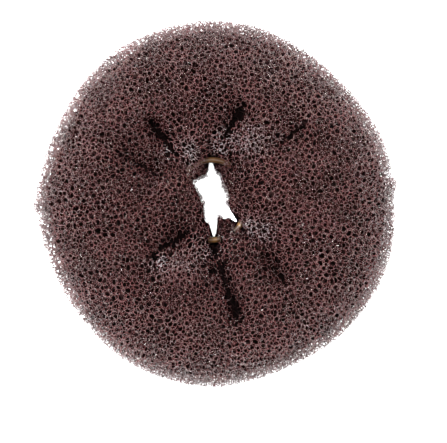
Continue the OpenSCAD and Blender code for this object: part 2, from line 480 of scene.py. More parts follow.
@dataclass(frozen=True)
class BandShape:
    """Centreline of the elastic: two straight sides and two rounded ends, in millimetres."""

    thickness: float = 1.5
    end_radius: float = 8.8
    side_length: float = 3.4
    height: float = 20.5
    middle_x: float = -0.8
    middle_y: float = 0.9
    gap: float = 0.3

    def distance(self, points: Array) -> Array:
        """Distance of each point from the centreline.

        A point is brought back along Y by the straight sides' length, so that the centreline
        becomes a circle.

        Args:
            points: (n, 3) places, mm.

        Returns:
            The distances, mm.
        """
        x = points[:, 0] - self.middle_x
        y = points[:, 1] - self.middle_y
        y = y - np.clip(y, -self.side_length / 2, self.side_length / 2)
        return np.hypot(np.hypot(x, y) - self.end_radius, points[:, 2] - self.height)

    def centreline(self, share: Array) -> tuple[Array, Array]:
        """Places and directions along the centreline.

        Args:
            share: How far round the band, from 0 to 1, starting at +X.

        Returns:
            (n, 3) places in mm and (n, 3) directions outwards from the band's middle.
        """
        arc = math.pi * self.end_radius
        total = 2 * arc + 2 * self.side_length
        s = np.mod(share * total + self.side_length / 2, total)
        half = s >= arc + self.side_length
        s = np.where(half, s - arc - self.side_length, s)
        straight = s < self.side_length
        turn = np.where(straight, 0.0, (s - self.side_length) / self.end_radius)
        run = np.where(straight, s, self.side_length) - self.side_length / 2
        flip = np.where(half, -1.0, 1.0)
        outwards = np.stack([np.cos(turn) * flip, np.sin(turn) * flip, np.zeros_like(turn)], 1)
        place = outwards * self.end_radius
        place[:, 1] += run * flip
        return place + (self.middle_x, self.middle_y, self.height), outwards


@dataclass(frozen=True)
class FoamWall:
    """The foam's wall in its two layers: struts near the outer face and a closed core below."""

    ring: RingShape = RingShape()
    band: BandShape = BandShape()
    mesh_depth: float = 2.7
    rim_more: float = 0.1
    under_less: float = 1.4
    throat_less: float = 1.8
    # strength of the painted shadow in the throat, the height above which none is painted, and its
    # fades
    throat_shadow: float = 0.92
    throat_lit: float = 25.0
    throat_fade: float = 9.0
    throat_width: float = 70.0
    step_width: float = 45.0
    least_core: float = 0.8
    band_cover: float = 0.6
    band_flat: float = 1.7
    band_slope: float = 2.2
    band_hidden: float = 3.2
    band_samples: int = 240

    def band_rows(self) -> tuple[Array, Array, Array]:
        """Where the band's centreline lies in the wall.

        Returns:
            Its angles round the hole in order, and at each its angle round the section and its
            depth below the outer face, in degrees and mm.
        """
        place, _ = self.band.centreline(np.arange(self.band_samples) / self.band_samples)
        found = self.ring.depths(place)
        order = np.argsort(found["angle"])
        return found["angle"][order], found["turn"][order], found["face"][order]

    def core_depth(self, angle: Array, turn: Array) -> Array:
        """Depth below the outer face at which the core starts.

        It is greater at the rim and less underneath and in the throat, by bells of the angle round
        the section. Where the band lies near the outer face the core goes down below it on a
        smooth slope, and elsewhere the band runs inside the core.

        Args:
            angle: Angles round the hole, degrees.
            turn: Angles round the section, degrees.

        Returns:
            The depths, mm.
        """
        plain = self.mesh_depth + self.rim_more * bell(turn / self.step_width)
        plain = plain - self.under_less * bell(around_zero(turn + 90) / self.step_width)
        plain = plain - self.throat_less * bell(around_zero(turn - 180) / self.step_width)
        angles, turns, depths = self.band_rows()
        band_turn = np.interp(angle, angles, np.mod(turns, 360), period=360)
        band_depth = np.interp(angle, angles, depths, period=360)
        _, half_width = self.ring.section(angle)
        off = np.radians(np.abs(around_zero(turn - band_turn))) * half_width
        below = band_depth + self.band.thickness / 2 + self.band.gap + self.band_cover
        near = rise((self.band_flat + self.band_slope - off) / self.band_slope)
        return plain + np.maximum(below - plain, 0) * near * rise(self.band_hidden - band_depth)

    def mesh_room(self, points: Array) -> tuple[Array, Array]:
        """How far points lie inside the layer of struts, clear of the band and the slits.

        Args:
            points: (n, 3) places, mm.

        Returns:
            The distance inside the layer and the depth below the outer face, both negative
            outside, mm.
        """
        found = self.ring.depths(points)
        face = found["face"]
        channel = self.band.distance(points) - self.band.thickness / 2 - self.band.gap
        core = self.core_depth(found["angle"], found["turn"])
        walls = (face, core - face, channel, self.ring.beside_slits(points))
        return np.minimum.reduce(walls), face

    def shade(self, points: Array, fade_depth: float) -> Array:
        """Painted shade of the foam at points: darker deep in the wall, in a crease and low in the
        throat.

        Args:
            points: (n, 3) places, mm.
            fade_depth: Depth at which the foam has its deepest painted shade, mm.

        Returns:
            The painted shade, from 0 to 1, and below 0 where a gleam is painted as a highlight.
        """
        found = self.ring.depths(points)
        depth = rise(found["face"] / fade_depth)
        throat = self.throat_shadow * rise((self.throat_lit - points[:, 2]) / self.throat_fade)
        throat = throat * bell(around_zero(found["turn"] - 180) / self.throat_width)
        dark = 1 - (1 - depth) * (1 - self.ring.shadows(points)) * (1 - throat)
        gleam = self.ring.gleam(points) * (1 - depth)
        return dark * (1 - gleam) - gleam


@dataclass(frozen=True)
class Network:
    """Struts of foam: nodes, where four struts meet, and the struts between them."""

    nodes: Array  # (n, 3) places of the nodes, mm
    struts: Array  # (m, 2) the two nodes of each strut
    blocks: Array  # (m, 3) how many blocks further the second node lies
    arms: Array  # (m, 2) which of its node's four arms the strut is, at either end
    turns: Array  # (n,) 1 where the four cells round a node are right-handed, else -1


@dataclass(frozen=True)
class FoamBlock:
    """A block of open-cell foam that repeats without a seam in all three directions, in mm."""

    side: float = 19.0
    cell_volume: float = 4.9
    seed: int = 11
    packing_rounds: int = 12
    packing_step: float = 0.3
    neighbours: int = 38
    ease_rounds: int = 2
    ease: float = 0.5
    batch: int = 60000
    least_slope: float = 1e-12

    @property
    def spread(self) -> float:
        """Distance below which two cells' middles push each other apart."""
        return 1.13 * self.cell_volume ** (1 / 3)

    def wrap(self, step: Array) -> Array:
        """Steps between places taken the short way through the repeating block."""
        return step - self.side * np.round(step / self.side)

    def nearest(self, places: Array, count: int) -> Array:
        """The nearest places of each place.

        Args:
            places: (c, 3) places in the block.
            count: How many to find.

        Returns:
            (c, count) their numbers, in no order.
        """
        squares = np.zeros((len(places), len(places)), np.float32)
        for axis in range(3):
            step = self.wrap(places[:, None, axis] - places[None, :, axis]).astype(np.float32)
            squares += step * step
        np.fill_diagonal(squares, np.inf)
        return np.argpartition(squares, count, axis=1)[:, :count]

    def cell_middles(self) -> Array:
        """Middles of the cells: random places that push each other apart until they are packed.

        Each round moves a place away from every nearer one than the spread, in proportion to how
        much nearer it is.

        Returns:
            (c, 3) places in the block.
        """
        rng = np.random.default_rng(self.seed)
        count = round(self.side**3 / self.cell_volume)
        places = rng.uniform(0, self.side, (count, 3))
        near = self.nearest(places, 22)
        for i in range(self.packing_rounds):
            if i % 4 == 3:
                near = self.nearest(places, 22)
            away = self.wrap(places[:, None] - places[near])
            distance = np.maximum(np.linalg.norm(away, axis=2), 1e-6)
            push = np.clip(1 - distance / self.spread, 0, None) / distance
            step = (away * push[..., None]).sum(1) * self.spread * self.packing_step
            places = (places + step) % self.side
        return places

    def edges(self, gap: Array, cell: Array, one: Array, two: Array) -> tuple[Array, ...]:
        """Cuts the line that is as far from three cells' middles down to the edge they share.

        The line is square to the plane of the three middles. Every other near cell takes away the
        part of the line that is nearer to it, and what is left, if anything, is the edge.

        Args:
            gap: (c, k, 3) steps from each cell's middle to its near ones.
            cell: (m,) the first cell of each line.
            one: (m,) the second, by its place among the near ones.
            two: (m,) the third, likewise.

        Returns:
            The foot of each line from the first middle, its direction, where the edge starts and
            ends along it, and the near cells that end it at its start and its end.
        """
        u, v = gap[cell, one], gap[cell, two]
        direction = np.cross(u, v)
        size = (direction**2).sum(1)[:, None]
        weight_u = (u**2).sum(1)[:, None] / 2
        weight_v = (v**2).sum(1)[:, None] / 2
        foot = (weight_u * np.cross(v, direction) + weight_v * np.cross(direction, u)) / size
        limit = (gap**2).sum(2) / 2
        ends = [[], [], [], []]
        for start in range(0, len(cell), self.batch):
            part = slice(start, start + self.batch)
            near = gap[cell[part]]
            slope = np.einsum("mkx,mx->mk", near, direction[part])
            room = limit[cell[part]] - np.einsum("mkx,mx->mk", near, foot[part])
            row = np.arange(len(near))
            for own in (one[part], two[part]):
                slope[row, own] = 0.0
            with np.errstate(divide="ignore", invalid="ignore"):
                at = room / slope
            above = np.where(slope > self.least_slope, at, np.inf)
            below = np.where(slope < -self.least_slope, at, -np.inf)
            low, high = below.argmax(1), above.argmin(1)
            for store, value in zip(ends, (below[row, low], above[row, high], low, high)):
                store.append(value)
        low_at, high_at, low, high = (np.concatenate(e) for e in ends)
        return foot, direction, low_at, high_at, low, high

    def network(self) -> Network:
        """The block's struts: the edges at which three foam cells meet.

        Returns:
            The network, with its nodes eased towards the middle of their four neighbours.
        """
        middles = self.cell_middles()
        near = self.nearest(middles, self.neighbours)
        gap = self.wrap(middles[near] - middles[:, None])
        number = np.arange(len(middles))[:, None]
        a, b = np.triu_indices(self.neighbours, 1)
        cell, pair = np.nonzero((near[:, a] > number) & (near[:, b] > number))
        one, two = a[pair], b[pair]
        swap = near[cell, one] > near[cell, two]
        one, two = np.where(swap, two, one), np.where(swap, one, two)
        apart = ((gap[cell, one] - gap[cell, two]) ** 2).sum(1) < (2.4 * self.spread) ** 2
        cell, one, two = cell[apart], one[apart], two[apart]
        foot, direction, start, end, low, high = self.edges(gap, cell, one, two)
        real = start < end
        cell, one, two, foot, direction, start, end, low, high = (
            x[real] for x in (cell, one, two, foot, direction, start, end, low, high)
        )
        count = len(cell)
        meeting, home, place = [], [], []
        for at, last in ((start, low), (end, high)):
            local = [one, two, last]
            meeting.append(np.stack([cell, *(near[cell, x] for x in local)], 1))
            away = [np.round((middles[cell] + gap[cell, x] - middles[near[cell, x]]) / self.side)
                    for x in local]
            home.append(np.stack([np.zeros((count, 3)), *away], 1))
            place.append(middles[cell] + foot + direction * at[:, None])
        meeting = np.concatenate(meeting)
        order = np.argsort(meeting, axis=1)
        meeting = np.take_along_axis(meeting, order, 1)
        block = np.take_along_axis(np.concatenate(home), order[..., None], 1)[:, 0].astype(int)
        arm = (order == 3).argmax(1)
        cells, first, node = np.unique(meeting, axis=0, return_index=True, return_inverse=True)
        node = node.ravel()
        nodes = (np.concatenate(place) - block * self.side)[first]
        corner = middles[cells]
        turns = np.sign(np.linalg.det(self.wrap(corner[:, 1:] - corner[:, :1])))
        struts = np.stack([node[:count], node[count:]], 1)
        blocks = block[count:] - block[:count]
        arms = np.stack([arm[:count], arm[count:]], 1)
        return Network(self.eased(nodes, struts, blocks), struts, blocks, arms, turns)

    def eased(self, nodes: Array, struts: Array, blocks: Array) -> Array:
        """Moves every node part of the way to the mean of its four neighbours, a few times over.

        Args:
            nodes: (n, 3) places.
            struts: (m, 2) the nodes of each strut.
            blocks: (m, 3) how many blocks further the second node lies.

        Returns:
            (n, 3) the eased places.
        """
        step = blocks * self.side
        for _ in range(self.ease_rounds):
            total = np.zeros_like(nodes)
            np.add.at(total, struts[:, 0], nodes[struts[:, 1]] + step)
            np.add.at(total, struts[:, 1], nodes[struts[:, 0]] - step)
            nodes = nodes + self.ease * (total / 4 - nodes)
        return nodes


@dataclass
class MeshParts:
    """Corners and faces of one mesh as they are gathered, in millimetres."""

    points: list[Array] = field(default_factory=list)
    quads: list[Array] = field(default_factory=list)
    triangles: list[Array] = field(default_factory=list)
    count: int = 0

    def add_points(self, points: Array) -> int:
        """Adds corners and gives the number of the first of them."""
        first = self.count
        self.points.append(points.reshape(-1, 3))
        self.count += len(self.points[-1])
        return first

    def all_points(self) -> Array:
        """The corners gathered so far, (n, 3), in millimetres and above the floor."""
        points = np.concatenate(self.points)
        points[:, 2] = np.maximum(points[:, 2], LEAST_HEIGHT)
        return points

    def triangle_count(self) -> int:
        """How many triangles the faces make."""
        return 2 * sum(map(len, self.quads)) + sum(map(len, self.triangles))

    def to_mesh(self, name: str) -> bpy.types.Mesh:
        """Makes a Blender mesh of the gathered faces, in metres and smoothly shaded.

        Args:
            name: The mesh's name.

        Returns:
            The mesh.
        """
        points = self.all_points() * MM
        quads = np.concatenate(self.quads) if self.quads else np.zeros((0, 4), int)
        triangles = np.concatenate(self.triangles) if self.triangles else np.zeros((0, 3), int)
        corners = np.concatenate([quads.ravel(), triangles.ravel()])
        starts = np.concatenate(
            [np.arange(len(quads)) * 4, len(quads) * 4 + np.arange(len(triangles)) * 3]
        )
        mesh = bpy.data.meshes.new(name)
        mesh.vertices.add(len(points))
        mesh.vertices.foreach_set("co", points.astype(np.float32).ravel())
        mesh.loops.add(len(corners))
        mesh.loops.foreach_set("vertex_index", corners.astype(np.int32))
        mesh.polygons.add(len(starts))
        mesh.polygons.foreach_set("loop_start", starts.astype(np.int32))
        mesh.polygons.foreach_set("use_smooth", np.ones(len(starts), bool))
        mesh.update(calc_edges=True)
        return mesh


def new_piece(mesh: bpy.types.Mesh, material: bpy.types.Material) -> bpy.types.Object:
    """An object for a mesh, at the origin, with its material.

    Args:
        mesh: The mesh, whose name the object takes.
        material: Its material.

    Returns:
        The object, linked into the scene.
    """
    piece = bpy.data.objects.new(mesh.name, mesh)
    mesh.materials.append(material)
    bpy.context.scene.collection.objects.link(piece)
    return piece


def add_shade(mesh: bpy.types.Mesh, shade: Array, across: Array, up: Array) -> None:
    """Gives a mesh its painted shade at each corner and a map that spreads over two of its values.

    Args:
        mesh: The mesh.
        shade: (n,) the painted shade, from 0 to 1, and below 0 where a gleam is painted.
        across: (n,) values that the map spreads across its width.
        up: (n,) values that it spreads up its height.
    """
    layer = mesh.attributes.new("shade", "FLOAT", "POINT")
    layer.data.foreach_set("value", shade.astype(np.float32))
    spread = [0.01 + 0.98 * (v - v.min()) / max(float(np.ptp(v)), 1e-6) for v in (across, up)]
    corner = np.zeros(len(mesh.loops), np.int32)
    mesh.loops.foreach_get("vertex_index", corner)
    chart = mesh.uv_layers.new(name="OFBake")
    chart.uv.foreach_set("vector", np.stack(spread, 1)[corner].astype(np.float32).ravel())


def foam_piece(
    mesh: bpy.types.Mesh, material: bpy.types.Material, parts: MeshParts
) -> bpy.types.Object:
    """A piece of the foam sleeve, which rides the ring.

    Args:
        mesh: The piece's mesh.
        material: Its material.
        parts: The faces it was made of.

    Returns:
        The piece.
    """
    piece = new_piece(mesh, material)
    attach(piece, "root")
    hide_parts("foam_sleeve")
    log.info("%s: %d triangles", piece.name, parts.triangle_count())
    return piece


# the two arms between which each of a node's six corners lies
PAIR_ARMS = np.array([(2, 3), (1, 3), (1, 2), (0, 3), (0, 2), (0, 1)])
# the three corners round each arm, in order as seen from the arm's far end
ARM_RINGS = np.array([(3, 5, 4), (1, 5, 2), (0, 4, 2), (0, 3, 1)])
# the three corners that face each cell, turned outwards where the node is right-handed
CELL_FACES = np.array([(0, 2, 1), (0, 3, 4), (1, 5, 3), (2, 4, 5)])
# the four faces of a slender strut, turned outwards
WEDGE_FACES = np.array([(0, 1, 2), (1, 0, 3), (0, 2, 3), (1, 3, 2)])


@dataclass(frozen=True)
class LaidNetwork:
    """The foam's network where it lies in the ring, in millimetres."""

    nodes: Array  # (n, 3) places
    corners: Array  # (n, 6, 3) corners of each node's body, one for each pair of its cells
    struts: Array  # (m, 2) nodes of each strut
    arms: Array  # (m, 2) which arm of its node each end is
    turns: Array  # (n,) handedness of the nodes
    kept: Array  # (n,) whether the node is in the foam
    depth: Array  # (n,) depth in the foam's wall, negative outside
    face: Array  # (n,) depth below the outer face


@dataclass(frozen=True)
class FoamMesh:
    """The outer layer of the foam sleeve: its network of struts, cut to the layer."""

    wall: FoamWall = FoamWall()
    block: FoamBlock = FoamBlock()
    name: str = "foam_mesh"
    pieces: int = 5
    node_reach: float = 0.072
    rim_wider: float = 0.6
    rim_width: float = 36.0
    fine_depth: float = 0.95
    slender_width: float = 0.13
    node_variation: float = 0.16
    waist: float = 0.7
    waisted_depth: float = 0.6
    tip_waist: float = 0.72
    tip_short: float = 0.15
    tip_long: float = 0.75
    floor_gap: float = 0.03
    # depth at which the struts' painted shade is deepest, mm
    fade_depth: float = 5.4
    # half size, middle height and margins of the box round the ring that the blocks have to fill
    box: tuple[float, float, float] = (49.0, 49.0, 18.0)
    box_middle: float = 17.0
    node_margin: float = 2.5
    block_share: float = 0.87
    block_margin: float = 3.0
    farthest: float = 62.0
    # least length of a cut strut, the shares of its length at which its tip may lie, and how far
    # it stands out of an inner face as a share of how far it does at the outer one
    least_length: float = 0.2
    tip_shares: tuple[float, float] = (0.3, 0.95)
    tip_over_floor: float = 0.05
    inner_tips: float = 0.15
    # X, Y, reach and strength of the places towards which the cells are crowded
    crowds: tuple[tuple[float, ...], ...] = (
        (-7.4, 14.1, 4.5, 0.3), (0.5, 16.5, 2.8, 0.25), (7.9, 16.7, 5.0, 0.3),
        (-9.2, -15.4, 6.0, 0.3), (10.5, -6.4, 5.5, 0.3), (-0.5, 1.9, 11.0, 0.18),
    )
    seed: int = 5

    def room(self, points: Array) -> tuple[Array, Array]:
        """Distance of points inside the layer and above the floor, and depth below the face, mm."""
        inside, face = self.wall.mesh_room(points)
        return np.minimum(inside, points[:, 2] - self.floor_gap), face

    def crowded(self, points: Array) -> Array:
        """Places after the foam is squeezed together at the lobes beside the folds.

        A place moves towards the middle of a crowd by its step from there times the strength and
        a bell of its distance over the reach.

        Args:
            points: (n, 3) places before, mm.

        Returns:
            (n, 3) places after, mm.
        """
        moved = points.copy()
        for x, y, reach, strength in self.crowds:
            step = points[:, :2] - (x, y)
            share = strength * bell(np.hypot(*step.T) / reach)
            moved[:, :2] -= step * share[:, None]
        return moved

    def tilt(self) -> Array:
        """A rotation by which the block is turned, so that its repeats never line up with a face."""
        rng = np.random.default_rng(self.seed)
        turned, _ = np.linalg.qr(rng.normal(size=(3, 3)))
        return turned * np.sign(np.linalg.det(turned))

    def lay(self) -> LaidNetwork:
        """Repeats the block through the ring and keeps what hangs together inside the wall.

        Returns:
            The laid network, with the corners of every node.
        """
        net = self.block.network()
        side = self.block.side
        tilt = self.tilt()
        reach = math.ceil(self.farthest / side) + 1
        steps = np.stack(np.meshgrid(*[np.arange(-reach, reach + 1)] * 3, indexing="ij"), -1)
        steps = steps.reshape(-1, 3)
        middles = (steps + 0.5) * side @ tilt.T
        box = np.array(self.box)
        middle = (0, 0, self.box_middle)
        beyond = np.maximum(np.abs(middles - middle) - box, 0)
        limit = side * self.block_share + self.block_margin
        steps = steps[np.linalg.norm(beyond, axis=1) < limit]
        look_up = np.full((2 * reach + 3,) * 3, -1)
        look_up[tuple((steps + reach + 1).T)] = np.arange(len(steps))
        nodes = ((net.nodes[None] + steps[:, None] * side) @ tilt.T).reshape(-1, 3)
        other = look_up[tuple(np.moveaxis(steps[:, None] + net.blocks + reach + 1, -1, 0))]
        first = net.struts[:, 0] + np.arange(len(steps))[:, None] * len(net.nodes)
        second = net.struts[:, 1] + other * len(net.nodes)
        struts = np.stack([first, second], -1)[other >= 0]
        arms = np.broadcast_to(net.arms, (len(steps), *net.arms.shape))[other >= 0]
        near = np.all(np.abs(nodes - middle) < box + self.node_margin, axis=1)
        ok = near[struts].all(1)
        number = np.cumsum(near) - 1
        nodes, struts, arms = self.crowded(nodes[near]), number[struts[ok]], arms[ok]
        turns = np.tile(net.turns, len(steps))[near]
        depth, face = self.room(nodes)
        kept = self.together(depth > 0, struts)
        corners = self.corners(nodes, struts, arms, self.width_share(nodes))
        return LaidNetwork(nodes, corners, struts, arms, turns, kept, depth, face)

    @staticmethod
    def together(inside: Array, struts: Array) -> Array:
        """Keeps the largest set of inside nodes that struts hold together.

        Every node passes the lowest number it knows of to its neighbours until none changes.

        Args:
            inside: (n,) whether a node is inside the wall.
            struts: (m, 2) nodes of each strut.

        Returns:
            (n,) whether the node is kept.
        """
        label = np.where(inside, np.arange(len(inside)), -1)
        a, b = struts[inside[struts].all(1)].T
        while True:
            low = np.minimum(label[a], label[b])
            new = label.copy()
            np.minimum.at(new, a, low)
            np.minimum.at(new, b, low)
            new = np.where(inside, new[np.maximum(new, 0)], -1)
            if np.array_equal(new, label):
                break
            label = new
        names, counts = np.unique(label[inside], return_counts=True)
        return label == names[counts.argmax()]

    def width_share(self, nodes: Array) -> Array:
        """How much wider than plain the struts are, which grows towards the rim as a bell."""
        turn = self.wall.ring.depths(nodes)["turn"]
        return 1 + self.rim_wider * bell(turn / self.rim_width)

    def corners(self, nodes: Array, struts: Array, arms: Array, wider: Array) -> Array:
        """The six corners of each node's body, one in each foam window beside it.

        A corner lies between two arms, in the direction of the sum of their directions.

        Args:
            nodes: (n, 3) places.
            struts: (m, 2) nodes of each strut.
            arms: (m, 2) which arm of its node each end is.
            wider: (n,) how much wider than plain the node is.

        Returns:
            (n, 6, 3) the corners.
        """
        rng = np.random.default_rng(self.seed)
        step = nodes[struts[:, 1]] - nodes[struts[:, 0]]
        step /= np.maximum(np.linalg.norm(step, axis=1, keepdims=True), 1e-9)
        arm = np.zeros((len(nodes), 4, 3))
        arm[struts[:, 0], arms[:, 0]] = step
        arm[struts[:, 1], arms[:, 1]] = -step
        between = arm[:, PAIR_ARMS].sum(2)
        size = np.maximum(np.linalg.norm(between, axis=2, keepdims=True), 0.5)
        reach = self.node_reach * wider
        reach = reach * (1 + self.node_variation * rng.uniform(-1, 1, len(nodes)))
        return nodes[:, None] + between / size * reach[:, None, None]

    def tip_places(self, laid: LaidNetwork, near: Array, far: Array) -> Array:
        """How far along a cut strut its tip lies.

        The strut crosses the wall where the depth, taken as straight between its ends, is nothing,
        and its tip stands out by a random length more, but never under the floor.

        Args:
            laid: The laid network.
            near: Nodes inside the wall.
            far: The nodes outside it at the struts' other ends.

        Returns:
            The share of each strut's length at which its tip lies.
        """
        rng = np.random.default_rng(self.seed + 1)
        length = np.linalg.norm(laid.nodes[far] - laid.nodes[near], axis=1)
        crossing = laid.depth[near] / (laid.depth[near] - laid.depth[far])
        outer = laid.face[far] < 0
        stand = rng.uniform(self.tip_short, self.tip_long, len(near))
        stand = stand * np.where(outer, 1.0, self.inner_tips)
        least, most = self.tip_shares
        share = np.clip(crossing + stand / np.maximum(length, self.least_length), least, most)
        z_near, z_far = laid.nodes[near, 2], laid.nodes[far, 2]
        lowest = self.floor_gap + self.node_reach
        to_floor = (z_near - lowest) / np.maximum(z_near - z_far, 1e-6)
        over = np.clip(np.minimum(share, to_floor), self.tip_over_floor, most)
        return np.where(z_far < lowest, over, share)

    def add_slender(self, parts: MeshParts, laid: LaidNetwork, deep: Array) -> None:
        """Adds the struts of the deeper foam, each as a slender wedge pair of four faces.

        Such a strut has an edge across it at either end, the two at right angles to each other. It
        runs from node to node, or from its middle where the other node is nearer the face.

        Args:
            parts: Where the faces are gathered.
            laid: The laid network.
            deep: (n,) whether the node belongs to the deeper foam of this piece.
        """
        rng = np.random.default_rng(self.seed + 2)
        a, b = laid.struts.T
        fine = laid.kept & (laid.face < self.fine_depth)
        whole = deep[a] & laid.kept[b] & ~fine[b]
        half_a = deep[a] & fine[b]
        half_b = deep[b] & fine[a]
        middle = (laid.nodes[a] + laid.nodes[b]) / 2
        starts = np.concatenate([laid.nodes[a[whole]], laid.nodes[a[half_a]], laid.nodes[b[half_b]]])
        ends = np.concatenate([laid.nodes[b[whole]], middle[half_a], middle[half_b]])
        axis = ends - starts
        length = np.maximum(np.linalg.norm(axis, axis=1, keepdims=True), 1e-6)
        axis /= length
        p = np.cross(axis, rng.normal(size=axis.shape))
        p /= np.maximum(np.linalg.norm(p, axis=1, keepdims=True), 1e-6)
        q = np.cross(axis, p)
        width = self.slender_width
        corners = [starts + width * p, starts - width * p, ends + width * q, ends - width * q]
        first = parts.add_points(np.stack(corners, 1))
        number = first + np.arange(len(starts))[:, None, None] * 4 + WEDGE_FACES[None]
        parts.triangles.append(number.reshape(-1, 3))

    def add_piece(self, laid: LaidNetwork, own: Array, deep: Array) -> MeshParts:
        """Gathers the faces of one piece of the foam.

        Every node has six corners and four faces between its arms. A strut is a three-sided tube
        between the corners round its two arms, with a waist where it lies near the outer face. A
        strut that leaves the wall ends in a tip, and one that leaves the piece ends at its middle.

        Args:
            laid: The laid network.
            own: (n,) whether the node belongs to this piece near the face.
            deep: (n,) whether the node belongs to its deeper foam.

        Returns:
            The gathered faces.
        """
        parts = MeshParts()
        number = np.cumsum(own) - 1
        parts.add_points(laid.corners[own])
        faces = number[own][:, None, None] * 6 + CELL_FACES[None]
        back = faces[..., ::-1]
        parts.triangles.append(np.where(laid.turns[own][:, None, None] > 0, faces, back).reshape(-1, 3))
        a, b = laid.struts.T
        shallow = (laid.face[a] + laid.face[b]) / 2 < self.waisted_depth
        ring_a = number[a][:, None] * 6 + ARM_RINGS[laid.arms[:, 0]]
        ring_b = number[b][:, None] * 6 + ARM_RINGS[laid.arms[:, 1]]
        whole = own[a] & own[b]
        plain = whole & ~shallow
        self.add_tube(parts, ring_a[plain], ring_b[plain])
        self.add_slender(parts, laid, deep)
        waisted = whole & shallow
        middle = self.middle_rings(laid, waisted, self.waist)
        first = parts.add_points(middle)
        ring_m = first + np.arange(len(middle) * 3).reshape(-1, 3)
        self.add_tube(parts, ring_a[waisted], ring_m)
        self.add_tube(parts, ring_m, ring_b[waisted])
        for forward in (True, False):
            near, far = (a, b) if forward else (b, a)
            ring = ring_a if forward else ring_b
            ours = own[near] & ~own[far]
            inner = ours & laid.kept[far]
            waist = np.where(shallow[inner], self.waist, 1.0)
            self.add_end(parts, self.middle_rings(laid, inner, waist), ring[inner], forward)
            cut = ours & ~laid.kept[far]
            share = self.tip_places(laid, near[cut], far[cut])
            axis = laid.nodes[far[cut]] - laid.nodes[near[cut]]
            unit = axis / np.maximum(np.linalg.norm(axis, axis=1, keepdims=True), 1e-9)
            arm = laid.arms[cut, 0 if forward else 1]
            root = laid.corners[near[cut][:, None], ARM_RINGS[arm]] - laid.nodes[near[cut]][:, None]
            flat = root - (root * unit[:, None]).sum(-1, keepdims=True) * unit[:, None]
            tips = (laid.nodes[near[cut]] + axis * share[:, None])[:, None] + flat * self.tip_waist
            self.add_end(parts, tips, ring[cut], forward)
        return parts

    def middle_rings(self, laid: LaidNetwork, chosen: Array, waist: float | Array) -> Array:
        """Three corners round the middle of each chosen strut, drawn in towards its axis.

        Args:
            laid: The laid network.
            chosen: (m,) which struts.
            waist: The share of the ends' width that is left.

        Returns:
            (k, 3, 3) the corners.
        """
        a, b = laid.struts[chosen].T
        arm_a, arm_b = laid.arms[chosen].T
        axis = (laid.nodes[a] + laid.nodes[b])[:, None] / 2
        ends = laid.corners[a[:, None], ARM_RINGS[arm_a]] + laid.corners[b[:, None], ARM_RINGS[arm_b]]
        return axis + (ends / 2 - axis) * np.reshape(waist, (-1, 1, 1))

    @staticmethod
    def add_tube(parts: MeshParts, low: Array, high: Array) -> None:
        """Adds the three sides between two rings of corners, facing outwards.

        Args:
            parts: Where the faces are gathered.
            low: (k, 3) corners of the rings at the struts' first ends.
            high: (k, 3) corners at their second ends.
        """
        for i, j in ((0, 1), (1, 2), (2, 0)):
            parts.quads.append(np.stack([low[:, i], low[:, j], high[:, j], high[:, i]], 1))

    def add_end(self, parts: MeshParts, tips: Array, ring: Array, forward: bool) -> None:
        """Adds struts that end in a flat tip.

        Args:
            parts: Where the faces are gathered.
            tips: (k, 3, 3) corners of the tips.
            ring: (k, 3) corners at the struts' roots.
            forward: True if the struts run from their first end, so that the tip is at the second.
        """
        first = parts.add_points(tips)
        tip = first + np.arange(len(tips) * 3).reshape(-1, 3)
        if forward:
            self.add_tube(parts, ring, tip)
            parts.triangles.append(tip)
        else:
            self.add_tube(parts, tip, ring)
            parts.triangles.append(tip[:, ::-1])

    def build(self, finish: FoamFinish) -> list[bpy.types.Object]:
        """Builds the foam as pieces, each a stretch of the ring, and dresses them.

        Args:
            finish: The foam's finish.

        Returns:
            The pieces.
        """
        laid = self.lay()
        angle = np.arctan2(laid.nodes[:, 1], laid.nodes[:, 0])
        bounds = np.quantile(angle[laid.kept], np.linspace(0, 1, self.pieces + 1)[1:-1])
        stretch = np.searchsorted(bounds, angle)
        material = finish.material(self.name)
        pieces = []
        for i in range(self.pieces):
            ours = laid.kept & (stretch == i)
            fine = laid.face < self.fine_depth
            parts = self.add_piece(laid, ours & fine, ours & ~fine)
            points = parts.all_points()
            mesh = parts.to_mesh(f"{self.name}_{i + 1}")
            # painted shade and painted gleam in each corner's colour
            shade = self.wall.shade(points, self.fade_depth)
            middle = angle[stretch == i].mean()
            turn = around_zero(np.degrees(np.arctan2(points[:, 1], points[:, 0]) - middle))
            add_shade(mesh, shade, turn, shade)
            pieces.append(foam_piece(mesh, material, parts))
        return pieces


